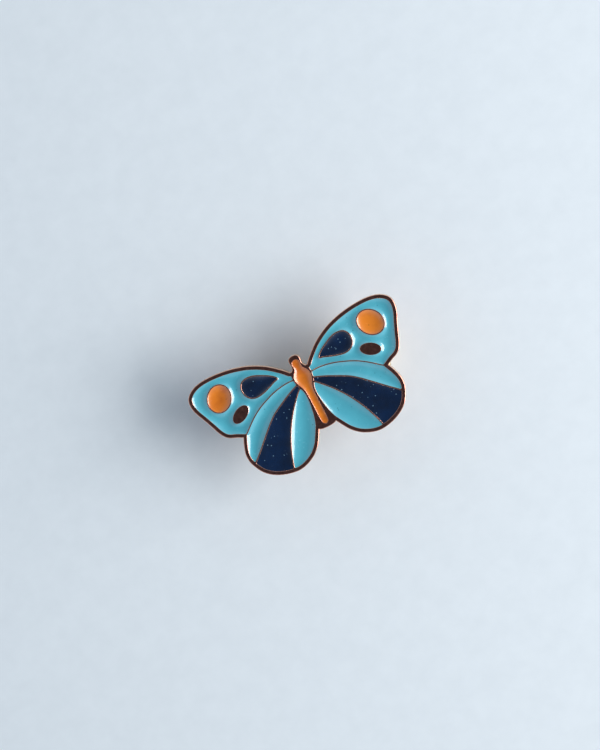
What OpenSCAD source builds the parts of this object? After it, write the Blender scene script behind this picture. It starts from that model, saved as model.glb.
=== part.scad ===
// Butterfly lapel pin: a die-struck metal plate with recessed soft-enamel fields,
// two posts on its back and a sprung butterfly clutch on each post.
// +X runs across the wings, +Y to the head, +Z out of the enamelled face.
// The origin is on the back face, on the line of symmetry.

/* [Plate] */
// Width over both wing tips
wingspan = 31.8; // [28:0.2:38]
// Thickness of the struck plate, back face to the tops of the raised lines
plate_t = 1.5; // [1.3:0.1:2]
// Depth of the enamel fields below the raised lines
recess = 0.55; // [0.3:0.05:0.6]
// How far the flat enamel level lies below the raised lines
enamel_drop = 0.12; // [0.05:0.01:0.2]
// Width of the metal border round the wings
rim_w = 0.55; // [0.35:0.05:0.7]
// Width of the raised lines between fields
line_w = 0.18; // [0.14:0.02:0.4]
// Width of the raised ring round the spot and the drop
ring_w = 0.18; // [0.14:0.02:0.3]
// Rounding of the corners of the enamel fields
corner_r = 0.12; // [0.05:0.01:0.2]
// Rounding of the inward corners of the enamel fields
crease_r = 1; // [0.2:0.1:1.2]

/* [Posts] */
// Distance between the two posts
post_spacing = 12; // [11.5:0.5:14]
// Height of the posts' line, below the middle of the thorax
post_y = -2; // [-2.5:0.5:0]
// Post diameter
post_d = 1.2; // [1:0.1:1.4]
// Post length, from the back face to its point
post_l = 8; // [7.5:0.25:8]
// Diameter of the shallow seat in the back face that holds a post's foot
seat_d = 2.6; // [2.2:0.1:3]

/* [Clutch] */
// Gap for cloth between the back face and a seated clutch
cloth_gap = 2.5; // [2.1:0.1:2.6]
// Diameter of the clutch's disc
disc_d = 11; // [10.4:0.2:11.2]
// Diameter of the clutch's cap
cap_d = 6.8; // [6.4:0.2:7]
// Sheet thickness of the disc, the cap and the finger wings
sheet = 0.4; // [0.3:0.05:0.5]
// How far each finger wing is squeezed in
squeeze = 0.6; // [0.4:0.05:0.6]
// Width of a finger wing's tab
tab_w = 5.6; // [4.6:0.2:6]

/* [Hidden] */

$fn = 48;
copper = "#9a6a55";
nickel = "#c9c4bc";
turquoise = "#63b9cc";
navy = "#0d2238";
orange = "#d67c25";

drawn_span = 31.8;
k = wingspan / drawn_span;
steps = 5;
left = -1;
right = 1;

// Right-hand wing outlines, drawn at the drawn span; each list is joined by a smooth curve.
// Front edge of the fore wing, from the shoulder round the tip to the notch between the wings
fore_edge = [
    [1.35, 2.1], [2.25, 3.03], [3.95, 4.4], [5.96, 5.47], [7.98, 6.12], [10, 6.48], [12, 6.6],
    [13.62, 6.44], [14.85, 5.96], [15.65, 5.2], [15.9, 4.2], [15.67, 2.95], [15.03, 1.45],
    [14.44, 0], [14.04, -1.02], [13.53, -1.84], [12.92, -2.31], [12.1, -2.65], [11.3, -3.05]
];
// Outer edge of the hind wing, from the notch round to the tail
hind_edge = [
    [11.3, -3.05], [11.75, -4.1], [12.1, -5.3], [12.08, -6.4], [11.7, -7.5], [11, -8.65], [9.95, -9.55],
    [8.6, -10.2], [7.2, -10.55], [6, -10.6], [4.7, -10.25], [3.5, -9.6], [2.5, -8.65], [1.8, -7.6],
    [1.25, -6.65]
];
// Line between the fore wing and the hind wing, from inside the body past the notch
fore_vein = [
    [0.6, 0.88], [2, 0.97], [3, 0.92], [4, 0.76], [5, 0.5], [6, 0.13], [7, -0.28], [8, -0.82],
    [9, -1.5], [10, -2.3], [10.7, -2.85], [11.6, -3.3]
];
// Line between the outer field and the dark wedge of the hind wing
outer_vein = [
    [0.6, 0.25], [1.5, 0.03], [3, -0.58], [4, -1.07], [5, -1.57], [6, -2.15], [7, -2.93], [8, -3.85],
    [9, -4.8], [10, -5.75], [11, -6.65], [13, -8.4]
];
// Line between the dark wedge and the inner field of the hind wing
inner_vein = [
    [0.6, -0.1], [1.3, -0.65], [2, -1.35], [3, -2.45], [4, -3.75], [4.75, -4.9], [5.4, -6.1],
    [6.05, -7.5], [6.6, -9], [7.3, -11.4]
];
// Half of the metal body's outline, from the top of the head to the tail
body_side = [
    [0, 4.05], [0.5, 3.95], [0.8, 3.6], [0.82, 3.1], [0.78, 2.65], [0.95, 2.25], [1.28, 1.9],
    [1.42, 1.4], [1.42, 0.8], [1.3, 0.1], [1, -0.7], [0.8, -1.4], [0.78, -2.4], [0.9, -3.5],
    [1.1, -4.6], [1.34, -5.5], [1.58, -6.25], [1.35, -6.7], [0.8, -6.92], [0, -6.98]
];
// Half of the enamelled body's outline
body_cell = [
    [0, 3.38], [0.36, 3.25], [0.54, 2.9], [0.52, 2.4], [0.58, 2.02], [0.9, 1.6], [1.14, 1.1],
    [1.16, 0.6], [1, 0], [0.7, -0.65], [0.52, -1.3], [0.46, -2.2], [0.46, -3.8], [0.45, -5.5],
    [0.36, -6.15], [0, -6.42]
];
// Dark drop of the fore wing, as a closed curve
drop_edge = [[3.35, 2.2], [4, 2.83], [5, 3.4], [6, 3.86], [6.95, 4.05], [7.85, 3.84], [8.34, 3.1],
    [8.25, 2.1], [7.72, 1.43], [6.9, 1.18], [5.9, 1.31], [4.8, 1.66], [3.85, 2.02]];
// Orange spot and bare metal oval of the fore wing: centre, half axes and tilt
spot_at = [11.77, 3.29];
spot_half = [1.89, 1.58];
spot_tilt = -54.7;
oval_at = [10.1, 0];
oval_half = [1.5, 0.87];
oval_tilt = -28;

enamel_top = plate_t - enamel_drop;
floor_z = plate_t - recess;
seat_depth = 0.3;
foot_r = seat_d / 2 - 0.25;
root_r = post_d / 2 + 0.2;
root_end = -0.45;

// Heights of the clutch, measured down from the back face
disc_top = -cloth_gap;
disc_bottom = disc_top - sheet;
cap_top = disc_bottom;
cap_bottom = -post_l - 0.6;
lower_jaw_z = disc_bottom - 1.3;
jaw_gap = 0.05;
jaw_step = sheet + jaw_gap;
cap_wall = 0.35;
grip_clearance = 0.03;
guide_clearance = 0.06;
tab_x = cap_d / 2 + squeeze + 0.2;
neck_w = 3;

// Catmull-Rom curve through the points; a closed one joins its ends
function at(p, i, closed) = closed ? p[(i + len(p)) % len(p)] : p[min(max(i, 0), len(p) - 1)];
function blend(a, b, c, d, t) =
    (2 * b + (c - a) * t + (2 * a - 5 * b + 4 * c - d) * t * t + (3 * b - a - 3 * c + d) * t * t * t) / 2;
function curve(p, closed = false) = [
    for (i = [0 : len(p) - (closed ? 1 : 2)], s = [0 : steps - 1])
        k * blend(at(p, i - 1, closed), at(p, i, closed), at(p, i + 1, closed), at(p, i + 2, closed),
            s / steps),
    if (!closed) k * p[len(p) - 1]
];
function reverse(p) = [for (i = [len(p) - 1 : -1 : 0]) p[i]];
function flip(p) = [for (q = p) [-q[0], q[1]]];
function unit(v) = v / norm(v);
function heading(p, i) = unit(p[min(i + 1, len(p) - 1)] - p[max(i - 1, 0)]);
// The path moved sideways, to the left of its direction
function beside(p, d) = [for (i = [0 : len(p) - 1]) p[i] + d * [-heading(p, i)[1], heading(p, i)[0]]];
function both_sides(p) = concat(curve(p), reverse(flip(curve(p))));

module sided(side) {
    if (side == left) mirror([1, 0, 0]) children();
    else children();
}

module stroke(p, w) {
    polygon(concat(beside(curve(p), w / 2), reverse(beside(curve(p), -w / 2))));
}

// Plan shapes of the right-hand wing
module fore_wing() {
    polygon(concat(curve(fore_edge), [k * [0, -3], k * [0, 2]]));
}

module hind_wing() {
    polygon(concat([k * [0, 0]], curve(hind_edge), [k * [0, -6.65]]));
}

module metal_body() {
    polygon(both_sides(body_side));
}

module silhouette() {
    for (side = [left, right]) sided(side) {
        fore_wing();
        hind_wing();
    }
    metal_body();
}

module ellipse(centre, half, tilt) {
    translate(k * centre) rotate(tilt) scale(k * half) circle(1);
}

module spot() {
    ellipse(spot_at, spot_half, spot_tilt);
}

module drop() {
    polygon(curve(drop_edge, closed = true));
}

module oval() {
    ellipse(oval_at, oval_half, oval_tilt);
}

// The part of the plane between two of the wing's lines
module sector(upper, lower) {
    polygon(concat(curve(upper), reverse(curve(lower))));
}

module above_fore_vein() {
    polygon(concat(curve(fore_vein), [k * [20, -4], k * [20, 9], k * [0.6, 9]]));
}

module below_inner_vein() {
    polygon(concat(curve(inner_vein), [k * [0.2, -12], k * [0.2, -0.1]]));
}

// A field of the wing: its sector inside the border, less the raised lines, with rounded corners
module field() {
    offset(r = corner_r) offset(r = -corner_r - crease_r) offset(delta = crease_r) difference() {
        intersection() {
            offset(delta = -rim_w) union() {
                fore_wing();
                hind_wing();
                metal_body();
            }
            children();
        }
        for (vein = [fore_vein, outer_vein, inner_vein]) stroke(vein, line_w);
        metal_body();
    }
}

module cell(name) {
    if (name == "fore") difference() {
        field() above_fore_vein();
        offset(delta = ring_w) spot();
        offset(delta = ring_w) drop();
        oval();
    }
    if (name == "outer") field() sector(fore_vein, outer_vein);
    if (name == "wedge") field() sector(outer_vein, inner_vein);
    if (name == "inner") field() below_inner_vein();
    if (name == "spot") spot();
    if (name == "drop") drop();
    if (name == "body") polygon(both_sides(body_cell));
}

module base_plate() {
    color(copper) difference() {
        linear_extrude(plate_t) silhouette();
        for (side = [left, right]) {
            translate([0, 0, floor_z]) linear_extrude(plate_t) sided(side)
                for (name = ["fore", "spot", "drop", "outer", "wedge", "inner"]) cell(name);
            translate([side * post_spacing / 2, post_y, -1]) cylinder(d = seat_d, h = 1 + seat_depth);
        }
        translate([0, 0, floor_z]) linear_extrude(plate_t) cell("body");
    }
}

module enamel(name, side, tint) {
    color(tint) translate([0, 0, floor_z]) linear_extrude(enamel_top - floor_z) sided(side) cell(name);
}

module at_post(side) {
    translate([side * post_spacing / 2, post_y, 0]) children();
}

// Pointed post with a foot in its seat, a tapered root, a narrow neck where the disc sits
// and a grip groove by its point
module post(side) {
    r = post_d / 2;
    waist = r - 0.2;
    neck = [disc_top + 0.05, disc_top - 0.65];
    groove = -post_l + 1.9;
    color(copper) at_post(side) rotate_extrude() polygon([
        [0, seat_depth], [foot_r, seat_depth], [foot_r, 0.05], [root_r, 0.05], [r, root_end],
        [r, neck[0]], [waist, neck[0] - 0.05], [waist, neck[1] + 0.05], [r, neck[1]],
        [r, groove + 0.4], [waist, groove + 0.25], [waist, groove + 0.15], [r, groove],
        [r, -post_l + 1.4], [0.12, -post_l + 0.06], [0, -post_l]
    ]);
}

// Ring of solder between the post's foot, its seat and its root
module solder(side) {
    rise = 0.35;
    tip_r = root_r + (post_d / 2 - root_r) * (0.05 + rise) / (0.05 - root_end);
    color(nickel) at_post(side) rotate_extrude() polygon(concat(
        [[foot_r, seat_depth], [seat_d / 2, seat_depth], [seat_d / 2, 0.02]],
        [for (a = [0 : 15 : 90]) [tip_r + (seat_d / 2 - 0.05 - tip_r) * (1 - sin(a)), -rise * (1 - cos(a))]],
        [[root_r, 0.05], [foot_r, 0.05]]
    ));
}

// Dished disc with a rolled rim and a guide hole with a turned-in lip
module clutch_disc(side) {
    r = disc_d / 2;
    hole_r = post_d / 2 + guide_clearance;
    roll = 0.35;
    color(nickel) at_post(side) rotate_extrude() polygon(concat(
        [[hole_r, disc_top], [r - roll, disc_top]],
        [for (a = [75 : -15 : -90]) [r - roll + roll * cos(a), disc_top - roll + roll * sin(a)]],
        [[r - roll - 0.1, disc_bottom - 0.2], [r - roll - 0.3, disc_bottom], [hole_r + 0.4, disc_bottom],
            [hole_r + 0.3, disc_bottom - 0.3], [hole_r, disc_bottom - 0.3]]
    ));
}

// Drawn cup that holds the jaws, with a slot for each neck
module clutch_cap(side) {
    r = cap_d / 2;
    round = 0.8;
    slot_h = 2 * sheet + jaw_gap + 0.4;
    color(nickel) at_post(side) difference() {
        rotate_extrude() polygon(concat(
            [[r - cap_wall, cap_top], [r + 0.5, cap_top], [r + 0.5, cap_top - 0.3], [r, cap_top - 0.5]],
            [for (a = [0 : 15 : 90]) [r - round + round * cos(a), cap_bottom + round - round * sin(a)]],
            [[0, cap_bottom], [0, cap_bottom + cap_wall], [r - round, cap_bottom + cap_wall],
                [r - cap_wall, cap_bottom + round]]
        ));
        translate([0, 0, lower_jaw_z - jaw_step - 0.2 + slot_h / 2 - sheet / 2])
            cube([cap_d + 2, neck_w + 0.3, slot_h], center = true);
    }
}

// Finger wing: a jaw plate with a slotted hole round the post, and a tab turned away from the pin
module finger_wing(side, way, level) {
    z = lower_jaw_z - level * jaw_step;
    hole_r = post_d / 2 + grip_clearance;
    jaw_back = cap_d / 2 - cap_wall - squeeze - 0.25;
    tab_bottom = cap_bottom + 0.5;
    bend = 0.5;
    color(nickel) at_post(side) rotate([0, 0, way < 0 ? 180 : 0]) {
        difference() {
            union() {
                translate([-jaw_back, -neck_w / 2, z - sheet / 2])
                    cube([jaw_back + tab_x, neck_w, sheet]);
                translate([tab_x, 0, z]) rotate([90, 0, 0]) cylinder(d = sheet, h = neck_w, center = true);
                translate([tab_x + sheet / 2, 0, z - bend]) rotate([0, -90, 0]) linear_extrude(sheet)
                    tab_outline(z - bend - tab_bottom, bend);
            }
            for (x = [0, squeeze]) translate([x, 0, z - 1]) cylinder(r = hole_r, h = 2);
            translate([0, -hole_r, z - 1]) cube([squeeze, 2 * hole_r, 2]);
        }
    }
}

// Outline of a tab, from its narrow neck to its broad rounded end
module tab_outline(drop_h, neck_h) {
    end_r = 1.4;
    translate([-drop_h, 0]) union() {
        hull() {
            for (y = [-1, 1]) translate([end_r, y * (tab_w / 2 - end_r)]) circle(end_r);
            translate([drop_h - 0.9, 0]) square([0.6, neck_w + 0.6], center = true);
        }
        translate([drop_h - 1, -neck_w / 2]) square([1 + neck_h, neck_w]);
    }
}

// Open wire bow that pushes the two finger wings apart
module clutch_spring(side) {
    wire = 0.45;
    bow_r = cap_d / 2 - cap_wall - wire / 2 - 0.25;
    z = lower_jaw_z - jaw_step - sheet / 2 - wire / 2 - 0.1;
    color(nickel) at_post(side) translate([0, 0, z]) rotate([0, 0, 120])
        rotate_extrude(angle = 300) translate([bow_r, 0]) circle(d = wire);
}

base_plate();
enamel("fore", left, turquoise);  // enamel_fore_left
enamel("spot", left, orange);  // enamel_spot_left
enamel("drop", left, navy);  // enamel_drop_left
enamel("outer", left, turquoise);  // enamel_outer_left
enamel("wedge", left, navy);  // enamel_wedge_left
enamel("inner", left, turquoise);  // enamel_inner_left
enamel("fore", right, turquoise);  // enamel_fore_right
enamel("spot", right, orange);  // enamel_spot_right
enamel("drop", right, navy);  // enamel_drop_right
enamel("outer", right, turquoise);  // enamel_outer_right
enamel("wedge", right, navy);  // enamel_wedge_right
enamel("inner", right, turquoise);  // enamel_inner_right
enamel("body", right, orange);  // enamel_body
post(left);  // post_left
post(right);  // post_right
solder(left);  // solder_left
solder(right);  // solder_right
clutch_disc(left);  // clutch_disc_left
clutch_disc(right);  // clutch_disc_right
clutch_cap(left);  // clutch_cap_left
clutch_cap(right);  // clutch_cap_right
clutch_spring(left);  // clutch_spring_left
clutch_spring(right);  // clutch_spring_right
finger_wing(left, 1, 0);  // upper_wing_left
finger_wing(right, 1, 0);  // upper_wing_right
finger_wing(left, -1, 1);  // lower_wing_left
finger_wing(right, -1, 1);  // lower_wing_right
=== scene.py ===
import math

import bmesh
import bpy
import numpy as np
from mathutils import Matrix, Vector
from mathutils.geometry import delaunay_2d_cdt


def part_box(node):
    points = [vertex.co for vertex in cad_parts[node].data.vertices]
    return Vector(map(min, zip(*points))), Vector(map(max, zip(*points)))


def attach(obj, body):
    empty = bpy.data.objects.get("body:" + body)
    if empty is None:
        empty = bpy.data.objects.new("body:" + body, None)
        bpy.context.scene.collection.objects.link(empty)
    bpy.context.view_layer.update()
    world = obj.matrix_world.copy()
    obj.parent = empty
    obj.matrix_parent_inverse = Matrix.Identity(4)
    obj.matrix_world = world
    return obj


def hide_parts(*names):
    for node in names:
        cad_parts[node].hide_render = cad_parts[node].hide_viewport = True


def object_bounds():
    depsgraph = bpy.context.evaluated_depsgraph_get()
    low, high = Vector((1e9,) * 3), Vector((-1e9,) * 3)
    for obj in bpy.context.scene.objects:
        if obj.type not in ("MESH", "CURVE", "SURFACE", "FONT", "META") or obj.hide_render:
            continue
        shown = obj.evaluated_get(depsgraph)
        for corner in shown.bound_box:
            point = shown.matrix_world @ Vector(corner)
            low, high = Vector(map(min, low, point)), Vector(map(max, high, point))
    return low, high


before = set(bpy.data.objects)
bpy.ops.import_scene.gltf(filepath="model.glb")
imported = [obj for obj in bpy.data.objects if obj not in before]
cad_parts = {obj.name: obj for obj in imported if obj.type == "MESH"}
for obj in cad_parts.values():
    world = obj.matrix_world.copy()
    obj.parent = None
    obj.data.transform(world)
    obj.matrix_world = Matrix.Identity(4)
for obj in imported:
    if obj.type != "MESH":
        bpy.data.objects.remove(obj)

cad_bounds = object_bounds()

MM = 0.001
SIDES = ("left", "right")
WING_FIELDS = ("fore", "outer", "inner", "wedge", "drop", "spot")
TINTS = {"fore": "turquoise", "outer": "turquoise", "inner": "turquoise",
         "wedge": "navy", "drop": "navy", "spot": "orange", "body": "orange"}
ENAMELS = [f"enamel_{field}_{side}" for side in SIDES for field in WING_FIELDS] + ["enamel_body"]

# ---------------------------------------------------------------- camera

PHOTO_FOCAL_MM = 86.4          # on a 36 mm sensor along the long side
CAMERA_DISTANCE = 248 * MM
CAMERA_TILT = math.radians(7.7)
TILT_TOWARDS = Vector((0.90, 0.43, 0)).normalized()
IMAGE_UP = Vector((0.460, 0.888, 0))


def add_camera(target):
    """The camera looks almost straight down on the enamelled face, which lies turned in the view."""
    back = TILT_TOWARDS * math.sin(CAMERA_TILT) + Vector((0, 0, math.cos(CAMERA_TILT)))
    right = IMAGE_UP.cross(back).normalized()
    up = back.cross(right)
    data = bpy.data.cameras.new("camera")
    data.lens = PHOTO_FOCAL_MM
    data.sensor_width = 36
    data.sensor_fit = "AUTO"
    data.clip_start = 0.01
    camera = bpy.data.objects.new("camera", data)
    bpy.context.scene.collection.objects.link(camera)
    turn = Matrix((right, up, back)).transposed().to_4x4()
    camera.matrix_world = Matrix.Translation(target + back * CAMERA_DISTANCE) @ turn
    bpy.context.scene.camera = camera


# ---------------------------------------------------------------- boxes and outlines from the CAD nodes

def in_mm(node):
    """The node's lowest and highest corner in mm."""
    low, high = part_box(node)
    return np.array(low) / MM, np.array(high) / MM


def welded(node):
    """The node's vertices with doubles joined, in mm, and its triangles."""
    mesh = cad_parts[node].data
    mesh.calc_loop_triangles()
    co = np.array([v.co for v in mesh.vertices]) / MM
    keys, inverse = np.unique(np.round(co, 4), axis=0, return_inverse=True)
    tris = np.array([t.vertices[:] for t in mesh.loop_triangles])
    return keys, inverse.reshape(-1)[tris]


def outlines(node):
    """The outlines of the node's lowest flat face, each a closed list of plan points with the face on its
    left, the one round the largest area first."""
    points, tris = welded(node)
    level = np.all(points[tris][:, :, 2] < points[:, 2].min() + 1e-3, axis=1)
    net = {}
    for a, b, c in tris[level]:
        for e in ((a, b), (b, c), (c, a)):
            if e[0] != e[1]:
                net[e] = net.get(e, 0) + 1
                net[e[::-1]] = net.get(e[::-1], 0) - 1
    after = {a: b for (a, b), count in net.items() if count > 0}
    loops = []
    while after:
        start, here = after.popitem()
        loop = [start]
        while here != start:
            loop.append(here)
            here = after.pop(here)
        loops.append(points[loop[::-1]][:, :2])
    return sorted(loops, key=area, reverse=True)


def area(loop):
    """The signed area that the loop goes round."""
    x, y = loop[:, 0], loop[:, 1]
    return 0.5 * float(np.sum(x * np.roll(y, -1) - np.roll(x, -1) * y))


# ---------------------------------------------------------------- plan curves, all in mm

SHARP_CORNER = 30      # degrees


def refined(loop, spacing):
    """The closed loop with points about spacing apart on a smooth curve; sharp corners stay sharp."""
    keep = [0]
    for i in range(1, len(loop)):
        if np.linalg.norm(loop[i] - loop[keep[-1]]) > 0.25 * spacing:
            keep.append(i)
    p = loop[keep]
    n = len(p)
    ahead = np.roll(p, -1, 0) - p
    length = np.linalg.norm(ahead, axis=1)
    way = ahead / length[:, None]
    turn = np.degrees(np.arccos(np.clip(np.sum(way * np.roll(way, 1, 0), 1), -1, 1)))
    out = []
    for i in range(n):
        a, b = p[i], p[(i + 1) % n]
        before = a - ahead[i] if turn[i] > SHARP_CORNER else p[i - 1]
        after = b + ahead[i] if turn[(i + 1) % n] > SHARP_CORNER else p[(i + 2) % n]
        slope_a = (b - before) * length[i] / (length[i] + np.linalg.norm(a - before))
        slope_b = (after - a) * length[i] / (length[i] + np.linalg.norm(after - b))
        count = max(1, int(math.ceil(length[i] / spacing)))
        for s in range(count):
            t = s / count
            out.append((2 * t**3 - 3 * t**2 + 1) * a + (t**3 - 2 * t**2 + t) * slope_a
                       + (3 * t**2 - 2 * t**3) * b + (t**3 - t**2) * slope_b)
    return np.array(out)


def left_normals(loop):
    """Unit normals to the left of the loop, lengthened at corners so that an offset keeps its width."""
    ahead = np.roll(loop, -1, 0) - loop
    way = ahead / np.linalg.norm(ahead, axis=1)[:, None]
    left = np.column_stack((-way[:, 1], way[:, 0]))
    total = left + np.roll(left, 1, 0)
    unit = total / np.linalg.norm(total, axis=1)[:, None]
    return unit / np.maximum(np.sum(unit * left, 1), 0.6)[:, None]


def inside(points, loops):
    """Which points have the loops' face on them: how often the loops go round each is odd."""
    odd = np.zeros(len(points), bool)
    for loop in loops:
        a, b = loop, np.roll(loop, -1, 0)
        for (ax, ay), (bx, by) in zip(a, b):
            if ay == by:
                continue
            crosses = (points[:, 1] >= min(ay, by)) & (points[:, 1] < max(ay, by))
            x = ax + (points[:, 1] - ay) * (bx - ax) / (by - ay)
            odd ^= crosses & (x > points[:, 0])
    return odd


def distance_to(points, loops):
    """How far each point is from the nearest point of the finely spaced loops, worked out in batches."""
    best = np.full(len(points), np.inf)
    every = np.vstack(loops)
    batch, block = 4000, 2000
    for start in range(0, len(points), batch):
        some = slice(start, start + batch)
        for first in range(0, len(every), block):
            gap = points[some][:, None, :] - every[None, first:first + block, :]
            best[some] = np.minimum(best[some], np.sqrt((gap**2).sum(2)).min(1))
    return best


def fill(loops, extra=()):
    """Triangles over the face that the loops bound, counter-clockwise. Returns (points, triangles);
    the loops' own points come first, in order."""
    points = np.vstack(list(loops) + ([extra] if len(extra) else []))
    edges, start = [], 0
    for loop in loops:
        n = len(loop)
        edges += [(start + i, start + (i + 1) % n) for i in range(n)]
        start += n
    out = delaunay_2d_cdt([Vector(p) for p in points], edges, [], 0, 1e-7, True)
    new_points, _, faces, origin = out[0], out[1], out[2], out[3]
    index = [o[0] if o else None for o in origin]
    merged = list(points)
    for i, o in enumerate(index):
        if o is None:
            index[i] = len(merged)
            merged.append(np.array(new_points[i]))
    merged = np.array(merged)
    tris = np.array([[index[i] for i in f] for f in faces])
    a, b, c = merged[tris[:, 0]], merged[tris[:, 1]], merged[tris[:, 2]]
    twice = (b[:, 0] - a[:, 0]) * (c[:, 1] - a[:, 1]) - (b[:, 1] - a[:, 1]) * (c[:, 0] - a[:, 0])
    tris[twice < 0] = tris[twice < 0][:, ::-1]
    tris = tris[np.abs(twice) > 1e-9]
    return merged, tris[inside(merged[tris].mean(1), loops)]


# ---------------------------------------------------------------- mesh making

class Builder:
    """Collects vertices and faces in mm."""

    def __init__(self):
        self.points, self.faces = [], []

    def add(self, points):
        start = len(self.points)
        self.points += [tuple(p) for p in points]
        return list(range(start, start + len(points)))

    def ring(self, plan, z):
        return self.add([(x, y, z) for x, y in plan])

    def bridge(self, low, high):
        """A band of quads between two rings of as many points."""
        n = len(low)
        for i in range(n):
            j = (i + 1) % n
            self.faces.append((low[i], low[j], high[j], high[i]))

    def triangles(self, index, tris, flip=False):
        for a, b, c in tris:
            self.faces.append((index[a], index[c], index[b]) if flip else (index[a], index[b], index[c]))

    def build(self, name, sharp=35):
        mesh = bpy.data.meshes.new(name)
        mesh.from_pydata([(x * MM, y * MM, z * MM) for x, y, z in self.points], [], self.faces)
        mesh.validate()
        shell = bmesh.new()
        shell.from_mesh(mesh)
        bmesh.ops.recalc_face_normals(shell, faces=shell.faces)
        shell.to_mesh(mesh)
        shell.free()
        mesh.shade_smooth()
        mesh.set_sharp_from_angle(angle=math.radians(sharp))
        piece = bpy.data.objects.new(name, mesh)
        bpy.context.scene.collection.objects.link(piece)
        return piece


def settle(piece, body, material, node):
    """Gives the piece its material and puts it on its body, in place of the CAD node."""
    piece.data.materials.clear()
    piece.data.materials.append(material)
    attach(piece, body)
    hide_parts(node)


# ---------------------------------------------------------------- struck plate

EDGE_ROUND = 0.12       # outer edge of the face
BACK_ROUND = 0.1        # outer edge of the back
LINE_ROUND = 0.05       # edges of the raised lines
FLAT_MARGIN = 0.012     # keeps the flat tops' shading apart from the rounded edges
ROUND_STEPS = 5
POINT_SPACING = 0.12


def make_plate(material):
    """The struck plate: rounded rim and lines round closed wells, which have the enamel's outlines."""
    lowest, highest = in_mm("base_plate")
    bottom, top = lowest[2], highest[2]
    well = in_mm("enamel_body")[0][2]
    rim = refined(outlines("base_plate")[0], POINT_SPACING)
    loops = [rim]
    for node in ENAMELS:
        loops += [refined(loop, POINT_SPACING)[::-1] for loop in outlines(node)]
    b = Builder()
    crowns, crown_index, wells, well_index = [], [], [], []
    for loop in loops:
        left = left_normals(loop)
        outer = loop is rim
        r = EDGE_ROUND if outer else LINE_ROUND
        if outer:
            profile = [(BACK_ROUND * (1 - math.sin(a)), bottom + BACK_ROUND * (1 - math.cos(a)))
                       for a in np.linspace(0, math.pi / 2, ROUND_STEPS)]
        else:
            profile = [(0, well)]
        profile += [(r * (1 - math.cos(a)), top - r * (1 - math.sin(a)))
                    for a in np.linspace(0, math.pi / 2, ROUND_STEPS + 1)]
        profile.append((r + FLAT_MARGIN, top))
        rings = [b.ring(loop + left * d, z) for d, z in profile]
        for low, high in zip(rings, rings[1:]):
            b.bridge(low, high)
        crowns.append(loop + left * (r + FLAT_MARGIN))
        crown_index += rings[-1]
        if outer:
            base, base_index = loop + left * BACK_ROUND, rings[0]
        else:
            wells.append(loop)
            well_index += rings[0]
    points, tris = fill(crowns)
    crown_index += b.add([(x, y, top) for x, y in points[len(crown_index):]])
    b.triangles(crown_index, tris)
    points, tris = fill(wells)
    well_index += b.add([(x, y, well) for x, y in points[len(well_index):]])
    b.triangles(well_index, tris)
    points, tris = fill([base])
    base_index = list(base_index) + b.add([(x, y, bottom) for x, y in points[len(base_index):]])
    b.triangles(base_index, tris, flip=True)
    settle(b.build("struck_plate"), "pin", material, "base_plate")


# ---------------------------------------------------------------- enamel

EDGE_LEVEL = 0.07       # below the metal tops, where the enamel climbs the wall
POOL_LEVELS = {"fore": 0.53, "outer": 0.53, "inner": 0.53,         # at the lowest point of a wide field
               "wedge": 0.26, "drop": 0.33, "spot": 0.45, "body": 0.45}
NARROW_SHARE = 0.25     # how much less a very narrow field sinks
CLIMB_LENGTH = 1.1      # how far from the wall the climb reaches
GRID = 0.13             # spacing of the surface's points in mid field
WALL_SPACING = 0.096    # spacing along the walls
SECOND_ROW = 0.04       # how far a row of points inside the wall is from it
SECOND_ROW_CLEAR = 0.03
GRID_CLEAR = 0.1
MOST_ROUNDS = 600
CLOSE_ENOUGH = 1e-12


def relax(points, tris, fixed):
    """Heights of a film held at 1 on the fixed points and drawn to 0 over CLIMB_LENGTH away from them."""
    n = len(points)
    rows, cols, weights = [], [], []
    mass = np.zeros(n)
    for k in range(3):
        i, j, o = tris[:, k], tris[:, (k + 1) % 3], tris[:, (k + 2) % 3]
        u, v = points[i] - points[o], points[j] - points[o]
        twice = np.abs(u[:, 0] * v[:, 1] - u[:, 1] * v[:, 0]) + 1e-12
        cot = np.sum(u * v, 1) / twice
        rows += [i, j]
        cols += [j, i]
        weights += [0.5 * cot, 0.5 * cot]
        mass += np.bincount(o, twice / 6, n)
    rows, cols, weights = np.concatenate(rows), np.concatenate(cols), np.concatenate(weights)
    diagonal = np.bincount(rows, weights, n) + mass / CLIMB_LENGTH**2
    free = ~fixed

    def apply(h):
        return (diagonal * h - np.bincount(rows, weights * h[cols], n)) * free

    h = np.where(fixed, 1.0, 0.0)
    residual = -(diagonal * h - np.bincount(rows, weights * h[cols], n)) * free
    precondition = free / np.maximum(diagonal, 1e-9)
    z = precondition * residual
    step, size = z.copy(), float(residual @ z)
    for _ in range(MOST_ROUNDS):
        q = apply(step)
        alpha = size / float(step @ q)
        h += alpha * step
        residual -= alpha * q
        z = precondition * residual
        after = float(residual @ z)
        if after < CLOSE_ENOUGH:
            break
        step, size = z + after / size * step, after
    return h


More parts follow.
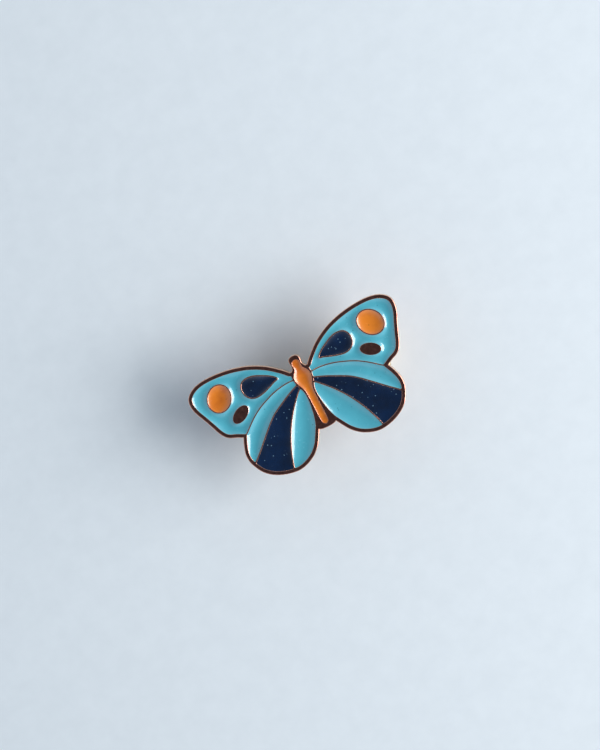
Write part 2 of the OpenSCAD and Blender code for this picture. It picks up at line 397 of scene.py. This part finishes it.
def make_enamel(node, field, metal_top, material):
    """A fill whose surface climbs the walls of its well and is deepest in mid field."""
    well = in_mm(node)[0][2]
    loops = [refined(loop, WALL_SPACING) for loop in outlines(node)]
    wall = np.vstack(loops)
    xs = np.arange(wall[:, 0].min(), wall[:, 0].max(), GRID)
    ys = np.arange(wall[:, 1].min(), wall[:, 1].max(), GRID * math.sqrt(0.75))
    grid = np.array([(x + (i % 2) * GRID / 2, y) for i, y in enumerate(ys) for x in xs])
    grid = grid[inside(grid, loops)]
    grid = grid[distance_to(grid, loops) > GRID_CLEAR]
    near = np.vstack([loop + left_normals(loop) * SECOND_ROW for loop in loops])
    near = near[distance_to(near, loops) > SECOND_ROW_CLEAR]
    points, tris = fill(loops, np.vstack((near, grid)))
    fixed = np.arange(len(points)) < len(wall)
    h = relax(points, tris, fixed)
    sink = (1 - h) / (1 - h.min()) * (1 - NARROW_SHARE * h.min())
    z = metal_top - EDGE_LEVEL - (POOL_LEVELS[field] - EDGE_LEVEL) * sink
    b = Builder()
    skin = b.add([(x, y, level) for (x, y), level in zip(points, z)])
    b.triangles(skin, tris)
    foot, start = [], 0
    for loop in loops:
        low = b.ring(loop, well)
        b.bridge(low, skin[start:start + len(loop)])
        foot += low
        start += len(loop)
    points, tris = fill(loops)
    foot += b.add([(x, y, well) for x, y in points[len(foot):]])
    b.triangles(foot, tris, flip=True)
    settle(b.build(node + "_fill", sharp=60), "pin", material, node)


# ---------------------------------------------------------------- materials

class Look:
    """A procedural material on one principled shader. Its texture coordinates are object ones, in mm."""

    def __init__(self, name, **sockets):
        self.material = bpy.data.materials.new(name)
        self.material.use_nodes = True
        self.tree = self.material.node_tree
        self.shader = next(n for n in self.tree.nodes if n.type == "BSDF_PRINCIPLED")
        for key, value in sockets.items():
            self.shader.inputs[key.replace("_", " ")].default_value = value
        self.coordinates = self.tree.nodes.new("ShaderNodeTexCoord")
        scale = self.tree.nodes.new("ShaderNodeVectorMath")
        scale.operation = "SCALE"
        scale.inputs["Scale"].default_value = 1 / MM
        self.link(self.coordinates.outputs["Object"], scale.inputs[0])
        self.place = scale.outputs[0]

    def link(self, out, into):
        self.tree.links.new(out, into)

    def noise(self, scale, detail=2.0, roughness=0.5, stretch=None):
        n = self.tree.nodes.new("ShaderNodeTexNoise")
        n.inputs["Scale"].default_value = scale
        n.inputs["Detail"].default_value = detail
        n.inputs["Roughness"].default_value = roughness
        place = self.place
        if stretch:
            m = self.tree.nodes.new("ShaderNodeMapping")
            m.inputs["Scale"].default_value = stretch
            self.link(place, m.inputs["Vector"])
            place = m.outputs[0]
        self.link(place, n.inputs["Vector"])
        return n.outputs[0]

    def cells(self, scale):
        """Distance to the nearest of scattered points, and a random value for each."""
        n = self.tree.nodes.new("ShaderNodeTexVoronoi")
        n.inputs["Scale"].default_value = scale
        self.link(self.place, n.inputs["Vector"])
        return n.outputs["Distance"], n.outputs["Color"]

    def steepness(self):
        """How far the surface turns away from level: 0 on flat tops, 1 on upright walls."""
        split = self.tree.nodes.new("ShaderNodeSeparateXYZ")
        self.link(self.coordinates.outputs["Normal"], split.inputs[0])
        return self.math("SUBTRACT", 1.0, self.math("ABSOLUTE", split.outputs["Z"], 0.0))

    def remap(self, value, low, high, to_low=0.0, to_high=1.0):
        n = self.tree.nodes.new("ShaderNodeMapRange")
        for socket, x in (("From Min", low), ("From Max", high), ("To Min", to_low), ("To Max", to_high)):
            n.inputs[socket].default_value = x
        self.link(value, n.inputs["Value"])
        return n.outputs[0]

    def math(self, operation, a, b):
        n = self.tree.nodes.new("ShaderNodeMath")
        n.operation = operation
        for socket, x in ((0, a), (1, b)):
            if isinstance(x, (int, float)):
                n.inputs[socket].default_value = x
            else:
                self.link(x, n.inputs[socket])
        return n.outputs[0]

    def mix(self, fac, a, b):
        n = self.tree.nodes.new("ShaderNodeMix")
        n.data_type = "RGBA"
        self.link(fac, n.inputs["Factor"])
        for socket, x in ((6, a), (7, b)):
            if isinstance(x, tuple):
                n.inputs[socket].default_value = (*x, 1)
            else:
                self.link(x, n.inputs[socket])
        return n.outputs[2]

    def bump(self, height, distance_mm, strength=1.0, under=None):
        n = self.tree.nodes.new("ShaderNodeBump")
        n.inputs["Strength"].default_value = strength
        n.inputs["Distance"].default_value = distance_mm * MM
        self.link(height, n.inputs["Height"])
        if under is not None:
            self.link(under, n.inputs["Normal"])
        return n.outputs[0]

    def set(self, socket, out):
        self.link(out, self.shader.inputs[socket])


def enamel_look(name, colour, deep, speck, speck_share):
    """Glossy baked enamel: slightly uneven colour, a faint orange-peel surface and a few specks."""
    look = Look(name, IOR=1.6, Coat_Weight=1.0, Coat_Roughness=0.11, Coat_IOR=1.7)
    cloud = look.remap(look.noise(0.42, 3.0), 0.35, 0.65)
    tone = look.mix(cloud, colour, deep)
    near, random = look.cells(2.2)
    dot = look.remap(near, 0.11, 0.2, 1.0, 0.0)
    separate = look.tree.nodes.new("ShaderNodeSeparateColor")
    look.link(random, separate.inputs[0])
    chosen = look.math("GREATER_THAN", separate.outputs[0], 1 - speck_share)
    specks = look.math("MULTIPLY", dot, chosen)
    look.set("Base Color", look.mix(specks, tone, speck))
    look.set("Roughness", look.remap(look.noise(1.5, 3.0), 0.3, 0.7, 0.2, 0.28))
    peel = look.bump(look.noise(1.1, 2.0), 0.03, 0.5)
    look.set("Normal", look.bump(look.noise(7.0, 2.0), 0.003, 0.5, peel))
    return look.material


def plated_look(name, bright, tarnish, rough, grain_depth=0.002):
    """Polished plating: cloudy tarnish, fine grain and soft waviness."""
    look = Look(name, Metallic=1.0)
    cloud = look.remap(look.noise(0.5, 4.0, 0.6), 0.38, 0.66)
    look.set("Base Color", look.mix(cloud, bright, tarnish))
    look.set("Roughness", look.remap(look.noise(2.5, 4.0, 0.7), 0.3, 0.7, *rough))
    wave = look.bump(look.noise(1.6, 2.0), 0.02, 0.4)
    look.set("Normal", look.bump(look.noise(14.0, 3.0, 0.6), grain_depth, 0.5, wave))
    return look.material


def struck_look(name, face, tarnish, wear_and_sheen_tone, dull):
    """Polished copper on the level faces; the edges and walls are lighter cream, partly rubbed wear and
    partly a painted highlight.
    """
    look = Look(name, Metallic=1.0)
    cloud = look.remap(look.noise(1.3, 4.0, 0.65), 0.36, 0.66)
    blotch = look.remap(look.noise(2.8, 3.0, 0.6), 0.3, 0.7, -0.1, 0.1)
    # steep edges and walls take the lighter cream tone: partly rubbed wear, partly a painted edge highlight
    wear_and_sheen_mask = look.remap(look.math("ADD", look.steepness(), blotch), 0.1, 0.4)
    streaks = look.remap(look.noise(0.8, 3.0, 0.5), 0.4, 0.7)
    look.set("Base Color", look.mix(wear_and_sheen_mask, look.mix(cloud, face, tarnish), look.mix(streaks, wear_and_sheen_tone, dull)))
    look.set("Roughness", look.remap(look.noise(2.5, 4.0, 0.7), 0.3, 0.7, 0.12, 0.26))
    wave = look.bump(look.noise(1.6, 2.0), 0.02, 0.4)
    fine = look.bump(look.noise(14.0, 3.0, 0.6), 0.002, 0.5, wave)
    scratches = look.noise(3.0, 3.0, 0.7, stretch=(1.0, 1.0, 14.0))
    look.set("Normal", look.bump(scratches, 0.002, 0.5, fine))
    return look.material


def pale_look():
    """The floor: matt and nearly even."""
    look = Look("pale_floor", Roughness=0.7)
    tone = look.remap(look.noise(0.4, 4.0), 0.3, 0.7)
    look.set("Base Color", look.mix(tone, (0.80, 0.85, 0.89), (0.83, 0.88, 0.92)))
    return look.material


# ---------------------------------------------------------------- clutches and posts

def lathe(name, profile, axis, segments=96, sharp=35):
    """A closed profile of (radius, height) points in mm, turned about the upright line at axis."""
    b = Builder()
    angles = [2 * math.pi * i / segments for i in range(segments)]
    rings = []
    for r, z in profile:
        if r < 1e-6:
            rings.append(b.add([(axis[0], axis[1], z)]) * segments)
        else:
            rings.append(b.add([(axis[0] + r * math.cos(a), axis[1] + r * math.sin(a), z) for a in angles]))
    for low, high in zip(rings, rings[1:] + rings[:1]):
        for i in range(segments):
            j = (i + 1) % segments
            face = []
            for v in (low[i], low[j], high[j], high[i]):
                if v not in face:
                    face.append(v)
            if len(face) > 2:
                b.faces.append(tuple(face))
    return b.build(name, sharp)


def arc(cx, cz, r, start, end, steps=6):
    """Points of an arc in a profile, angles in degrees, 0 outwards and 90 up."""
    return [(cx + r * math.cos(math.radians(a)), cz + r * math.sin(math.radians(a)))
            for a in np.linspace(start, end, steps)]


def sweep(name, spine, normals, across, half_widths, thickness, sharp=40):
    """A sheet-metal strip: along spine, lying square to normals, with rounded edges. All in mm."""
    b = Builder()
    half = thickness / 2
    rings = []
    for p, n, w in zip(spine, normals, half_widths):
        flat = max(w - half, 0.001)
        section = [(flat * t, half) for t in np.linspace(-1, 1, 7)]
        section += [(flat + half * math.cos(a), half * math.sin(a)) for a in np.linspace(1.2, -1.2, 5)]
        section += [(flat * t, -half) for t in np.linspace(1, -1, 7)]
        section += [(-flat - half * math.cos(a), -half * math.sin(a)) for a in np.linspace(1.2, -1.2, 5)]
        rings.append(b.add([p + across * u + n * v for u, v in section]))
    for low, high in zip(rings, rings[1:]):
        b.bridge(low, high)
    b.faces.append(tuple(rings[0]))
    b.faces.append(tuple(rings[-1]))
    return b.build(name, sharp)


def tube(name, spine, radius, segments=16):
    """Round wire along spine, with rounded ends, in mm."""
    spine = [np.array(p, float) for p in spine]
    b = Builder()
    rings = []
    count = len(spine)
    for i, p in enumerate(spine):
        way = spine[min(i + 1, count - 1)] - spine[max(i - 1, 0)]
        way /= np.linalg.norm(way)
        side = np.cross(way, (0, 0, 1.0))
        side /= np.linalg.norm(side)
        up = np.cross(side, way)
        steps = [(0.0, 1.0)]
        if i == 0:
            steps = [(-radius * math.sin(a), math.cos(a)) for a in (1.3, 0.9, 0.45)] + steps
        if i == count - 1:
            steps = steps + [(radius * math.sin(a), math.cos(a)) for a in (0.45, 0.9, 1.3)]
        for forward, size in steps:
            rings.append(b.add([p + way * forward + radius * size * (side * math.cos(a) + up * math.sin(a))
                                for a in np.linspace(0, 2 * math.pi, segments, endpoint=False)]))
    for low, high in zip(rings, rings[1:]):
        b.bridge(low, high)
    b.faces.append(tuple(rings[0]))
    b.faces.append(tuple(rings[-1]))
    return b.build(name)


def cut(piece, cutter, sharp=35):
    """Takes the cutter's solid out of the piece and removes the cutter."""
    modifier = piece.modifiers.new("cut", "BOOLEAN")
    modifier.operation = "DIFFERENCE"
    modifier.solver = "EXACT"
    modifier.object = cutter
    bpy.context.view_layer.update()
    done = piece.evaluated_get(bpy.context.evaluated_depsgraph_get())
    mesh = bpy.data.meshes.new_from_object(done)
    piece.modifiers.clear()
    piece.data = mesh
    mesh.set_sharp_from_angle(angle=math.radians(sharp))
    bpy.data.objects.remove(cutter)


def prism(name, plan, low, high):
    """An upright block over a plan outline, used as a cutter."""
    b = Builder()
    foot, head = b.ring(plan, low), b.ring(plan, high)
    b.bridge(foot, head)
    b.faces.append(tuple(foot))
    b.faces.append(tuple(head))
    return b.build(name)


SHEET = 0.4
CAP_WALL = 0.35
CAP_FLANGE = 0.5
NECK_WIDTH = 3.0
SLOT_PLAY = 0.15        # beside the neck of a wing
SLOT_MARGIN = 0.2       # above and below the two jaws
JAW_GAP = 0.05          # between the two jaws
SHANK_RADIUS = 0.6
ROOT_FLARE = 0.2        # where the shank meets its foot
NECK_DEPTH = 0.2        # of the neck and the grip groove in the shank
NECK_TOP = -2.45
NECK_END = -3.15
GROOVE_ABOVE_TIP = 1.9
TAPER_LENGTH = 1.4
JAW_TRAVEL = 0.6
BEND_RADIUS = 0.42      # of a wing's sheet, at its middle
TAB_END_RADIUS = 1.4


def make_post(side, plate_metal, solder_metal):
    """A turned post with a neck, a grip groove and a point, and the uneven ring of solder round its foot."""
    low, high = in_mm(f"post_{side}")
    axis = (low + high) / 2
    foot = (high[0] - low[0]) / 2
    tip, top = low[2], high[2]
    r = SHANK_RADIUS
    waist = r - NECK_DEPTH
    groove = tip + GROOVE_ABOVE_TIP
    profile = [(0, top - 0.01), (foot - 0.01, top - 0.01), (foot - 0.01, 0.05), (r + ROOT_FLARE, 0.05)]
    profile += [(r + ROOT_FLARE * (1 - t) ** 1.6, 0.05 - 0.5 * t) for t in (0.25, 0.5, 0.75, 1)]
    profile += [(r, NECK_TOP + 0.03), (r - 0.03, NECK_TOP), (waist + 0.02, NECK_TOP - 0.06),
                (waist, NECK_TOP - 0.1)]
    profile += [(waist, NECK_END + 0.1), (waist + 0.02, NECK_END + 0.06), (r - 0.03, NECK_END),
                (r, NECK_END - 0.03)]
    profile += [(r, groove + 0.43), (r - 0.03, groove + 0.4), (waist, groove + 0.25), (waist, groove + 0.15),
                (r - 0.03, groove), (r, groove - 0.03)]
    shoulder = tip + TAPER_LENGTH
    taper = [(r * (1 - t) ** 0.9 * 0.93 + 0.055 * t, shoulder + (tip + 0.05 - shoulder) * t)
             for t in np.linspace(0.08, 1, 10)]
    profile += [(r, shoulder + 0.06), (r - 0.012, shoulder)] + taper
    profile += [(0.035, tip + 0.015), (0, tip)]
    post = lathe(f"post_pin_{side}", profile, axis, 64, 40)
    settle(post, "pin", plate_metal, f"post_{side}")

    low, high = in_mm(f"solder_{side}")
    outer = (high[0] - low[0]) / 2
    inner = SHANK_RADIUS + 0.04
    edge = outer - 0.05
    profile = [(outer - 0.3, high[2] - 0.01), (outer, high[2] - 0.01), (outer, 0.02)]
    profile += [(inner + (edge - inner) * (1 - math.sin(a)), low[2] * (1 - math.cos(a)))
                for a in np.linspace(0, math.pi / 2, 9)]
    profile += [(r + ROOT_FLARE, 0.05), (outer - 0.3, 0.05)]
    ring = lathe(f"solder_ring_{side}", profile, axis, 72, 60)
    rng = np.random.default_rng(7 if side == "left" else 11)
    waves = [(int(k), rng.uniform(0, 6.28), rng.uniform(0.01, 0.03)) for k in (2, 3, 5, 7)]
    for v in ring.data.vertices:
        dx, dy = v.co.x / MM - axis[0], v.co.y / MM - axis[1]
        if v.co.z < 0.01 * MM:
            a = math.atan2(dy, dx)
            swell = sum(size * math.sin(k * a + phase) for k, phase, size in waves)
            v.co.z *= max(0.2, 1 - 2.2 * abs(swell))
    settle(ring, "pin", solder_metal, f"solder_{side}")


def make_disc(side, metal):
    """The clutch's disc, dished round its hole and rolled over at its edge."""
    node = f"clutch_disc_{side}"
    low, high = in_mm(node)
    axis = (low + high) / 2
    r, top, bottom = (high[0] - low[0]) / 2, high[2], low[2]
    roll = (top - bottom) / 2
    hole = SHANK_RADIUS + 0.06
    under = top - SHEET
    profile = [(hole + 0.12, top - 0.05), (hole + 0.3, top - 0.015), (hole + 1.1, top - 0.01)]
    # a shallow ring pressed into the disc's upper face
    profile += [(3.3, top - 0.01), (3.55, top - 0.05), (3.8, top - 0.12), (4.6, top - 0.12),
                (4.85, top - 0.08)]
    profile += arc(r - roll, top - roll, roll, 105, -100, 16)
    profile += [(r - roll - 0.15, bottom + 0.06), (r - roll - 0.2, bottom + 0.16),
                (r - roll - 0.34, under - 0.02)]
    profile += [(3.9, under), (hole + 0.45, under), (hole + 0.3, under - 0.1), (hole + 0.24, under - 0.28),
                (hole + 0.1, under - 0.29), (hole, under - 0.22), (hole, top - 0.18),
                (hole + 0.03, top - 0.1)]
    disc = lathe(f"disc_{side}", profile, axis, 128, 40)
    settle(disc, f"clutch_{side}", metal, node)


def make_cap(side, metal):
    """The clutch's cup, flanged under the disc, with a slot on each side for the wings."""
    node = f"clutch_cap_{side}"
    low, high = in_mm(node)
    axis = (low + high) / 2
    r = (high[0] - low[0]) / 2 - CAP_FLANGE
    top, bottom = high[2], low[2]
    inner = r - CAP_WALL
    profile = [(inner, top), (r + CAP_FLANGE - 0.06, top)]
    profile += arc(r + CAP_FLANGE - 0.13, top - 0.13, 0.13, 60, -80, 6)
    profile += [(r + 0.3, top - 0.27)]
    profile += [(r + 0.22 * (1 - math.sin(a)), top - 0.28 - 0.24 * (1 - math.cos(a)))
                for a in np.linspace(0.1, math.pi / 2, 6)]
    profile += arc(r - 0.8, bottom + 0.8, 0.8, 0, -90, 10)
    profile += [(1.9, bottom), (1.8, bottom + 0.02), (1.7, bottom + 0.08), (1.6, bottom + 0.1),
                (0, bottom + 0.1)]
    profile += [(0, bottom + CAP_WALL), (r - 0.8, bottom + CAP_WALL)]
    profile += arc(r - 0.8, bottom + 0.8, 0.8 - CAP_WALL, -80, -8, 6) + [(inner, bottom + 0.85)]
    cap = lathe(f"cap_{side}", profile, axis, 128, 40)
    jaws = [in_mm(f"{level}_wing_{side}") for level in ("upper", "lower")]
    jaw_top = max(j[1][2] for j in jaws)
    slot_low = jaw_top - 2 * SHEET - JAW_GAP - SLOT_MARGIN
    slot_high = jaw_top + SLOT_MARGIN
    half_w, reach = NECK_WIDTH / 2 + SLOT_PLAY, r + 1
    plan = [(axis[0] + x * reach, axis[1] + y * half_w) for x, y in ((-1, -1), (1, -1), (1, 1), (-1, 1))]
    cut(cap, prism("slot_cutter", plan, slot_low, slot_high), 40)
    settle(cap, f"clutch_{side}", metal, node)


def smooth(t):
    """An eased step from 0 to 1."""
    t = min(max(t, 0.0), 1.0)
    return t * t * (3 - 2 * t)


def make_finger_wing(side, level, metal):
    """A jaw plate with a slotted hole round the post, bent down into a wider finger tab."""
    node = f"{level}_wing_{side}"
    low, high = in_mm(node)
    axis = (in_mm(f"post_{side}")[0] + in_mm(f"post_{side}")[1]) / 2
    way = 1 if level == "upper" else -1
    reach = (high[0] - axis[0]) if way > 0 else (axis[0] - low[0])
    back = (axis[0] - low[0]) if way > 0 else (high[0] - axis[0])
    z = high[2] - SHEET / 2
    tab_x = reach - SHEET / 2
    bottom, bend = low[2], BEND_RADIUS
    half_tab = (high[1] - low[1]) / 2
    spine, normals, widths = [], [], []

    def put(x, dz, nx, nz, w):
        spine.append(np.array((axis[0] + way * x, axis[1], dz)))
        normals.append(np.array((way * nx, 0, nz)))
        widths.append(w)

    for x in np.linspace(-back, tab_x - bend, 14):
        put(x, z, 0, 1, NECK_WIDTH / 2)
    for a in np.linspace(0.15, math.pi / 2, 8):
        put(tab_x - bend + bend * math.sin(a), z - bend * (1 - math.cos(a)), math.sin(a), math.cos(a),
            NECK_WIDTH / 2)
    start, length = z - bend, z - bend - bottom
    for t in np.linspace(0.04, 1, 40):
        down = t * length
        left_over = length - down
        w = NECK_WIDTH / 2 + (half_tab - NECK_WIDTH / 2) * smooth((down - 0.15) / 0.9)
        if left_over < TAB_END_RADIUS:
            w = half_tab - TAB_END_RADIUS + math.sqrt(
                max(TAB_END_RADIUS**2 - (TAB_END_RADIUS - left_over)**2, 0.0))
        put(tab_x, start - down, 1, 0, w)
    wing = sweep(f"finger_{level}_{side}", spine, normals, np.array((0, float(way), 0)), widths, SHEET)
    hole = SHANK_RADIUS + 0.03
    quarter = math.pi / 2
    around = [(JAW_TRAVEL + hole * math.cos(a), hole * math.sin(a))
              for a in np.linspace(-quarter, quarter, 15)]
    around += [(hole * math.cos(a), hole * math.sin(a)) for a in np.linspace(quarter, 3 * quarter, 15)]
    plan = np.array([(axis[0] + way * x, axis[1] + way * y) for x, y in around])
    cut(wing, prism("jaw_cutter", plan, z - 1, z + 1), 40)
    settle(wing, f"{level}_wing_{side}", metal, node)


def make_spring(side, metal):
    """The open bow of wire between the jaws and the cup."""
    node = f"clutch_spring_{side}"
    low, high = in_mm(node)
    axis = (in_mm(f"post_{side}")[0] + in_mm(f"post_{side}")[1]) / 2
    wire = (high[2] - low[2]) / 2
    z = (high[2] + low[2]) / 2
    bow = max(high[0] - axis[0], axis[0] - low[0]) - wire
    spine = [(axis[0] + bow * math.cos(a), axis[1] + bow * math.sin(a), z)
             for a in np.radians(np.linspace(120 + 4, 420 - 4, 60))]
    spring = tube(f"spring_bow_{side}", spine, wire)
    settle(spring, f"clutch_{side}", metal, node)


# ---------------------------------------------------------------- the pin

# the last two colours are the lighter tone of the edges and walls: rubbed wear and a painted edge highlight
plate_metal = struck_look("copper_plating", (0.95, 0.39, 0.31), (0.62, 0.24, 0.19), (0.95, 0.67, 0.46),
                          (0.87, 0.57, 0.37))
clutch_metal = plated_look("brass_plating", (0.80, 0.60, 0.30), (0.62, 0.43, 0.2), (0.14, 0.34))
solder_metal = plated_look("solder", (0.62, 0.58, 0.52), (0.42, 0.38, 0.34), (0.3, 0.5), grain_depth=0.01)
spring_metal = plated_look("spring_steel", (0.6, 0.6, 0.6), (0.45, 0.45, 0.45), (0.2, 0.35))
enamels = {
    "turquoise": enamel_look("turquoise_enamel", (0.105, 0.50, 0.62), (0.09, 0.45, 0.57),
                             (0.03, 0.18, 0.24), 0.07),
    "navy": enamel_look("navy_enamel", (0.001, 0.016, 0.062), (0.0008, 0.009, 0.034),
                        (0.16, 0.28, 0.38), 0.3),
    "orange": enamel_look("orange_enamel", (0.88, 0.25, 0.02), (0.64, 0.15, 0.012), (0.4, 0.12, 0.015), 0.1),
}

make_plate(plate_metal)
metal_top = in_mm("base_plate")[1][2]
for side in SIDES:
    for field in WING_FIELDS:
        make_enamel(f"enamel_{field}_{side}", field, metal_top, enamels[TINTS[field]])
make_enamel("enamel_body", "body", metal_top, enamels[TINTS["body"]])
for side in SIDES:
    make_post(side, plate_metal, solder_metal)
    make_disc(side, clutch_metal)
    make_cap(side, clutch_metal)
    for level in ("upper", "lower"):
        make_finger_wing(side, level, clutch_metal)
    make_spring(side, spring_metal)

# ---------------------------------------------------------------- floor, light and camera

FLOOR_HALF = 0.6


def add_floor():
    """A plain floor that the clutches stand on."""
    mesh = bpy.data.meshes.new("floor")
    z = cad_bounds[0][2]
    corners = ((-1, -1), (1, -1), (1, 1), (-1, 1))
    mesh.from_pydata([(x * FLOOR_HALF, y * FLOOR_HALF, z) for x, y in corners], [], [(0, 1, 2, 3)])
    floor = bpy.data.objects.new("floor", mesh)
    floor.data.materials.append(pale_look())
    bpy.context.scene.collection.objects.link(floor)


def add_light(name, direction, distance, size, watts, colour):
    """A rectangular light in the given direction, facing the middle of the pin's back face."""
    data = bpy.data.lights.new(name, "AREA")
    data.shape = "RECTANGLE"
    data.size, data.size_y = size
    data.energy = watts
    data.color = colour
    light = bpy.data.objects.new(name, data)
    direction = Vector(direction).normalized()
    light.location = direction * distance
    light.rotation_euler = direction.to_track_quat("Z", "Y").to_euler()
    bpy.context.scene.collection.objects.link(light)


def add_world(overhead, horizon):
    """A plain room: dim straight above, brighter towards the horizon."""
    world = bpy.data.worlds.new("studio")
    world.use_nodes = True
    tree = world.node_tree
    background = tree.nodes["Background"]
    background.inputs["Color"].default_value = (0.74, 0.87, 1.0, 1)
    way = tree.nodes.new("ShaderNodeTexCoord")
    split = tree.nodes.new("ShaderNodeSeparateXYZ")
    shade = tree.nodes.new("ShaderNodeMapRange")
    shade.interpolation_type = "SMOOTHSTEP"
    for socket, value in (("From Min", 0.62), ("From Max", 0.95), ("To Min", horizon), ("To Max", overhead)):
        shade.inputs[socket].default_value = value
    tree.links.new(way.outputs["Generated"], split.inputs[0])
    tree.links.new(split.outputs["Z"], shade.inputs["Value"])
    tree.links.new(shade.outputs[0], background.inputs["Strength"])
    bpy.context.scene.world = world


add_floor()
bpy.context.scene.view_settings.view_transform = "Standard"
add_world(0.06, 0.66)
add_light("key", (0.90, -0.36, 0.60), 0.6, (0.56, 0.46), 4.4, (1.0, 0.985, 0.965))
add_camera(Vector((-0.22, 1.18, metal_top)) * MM)
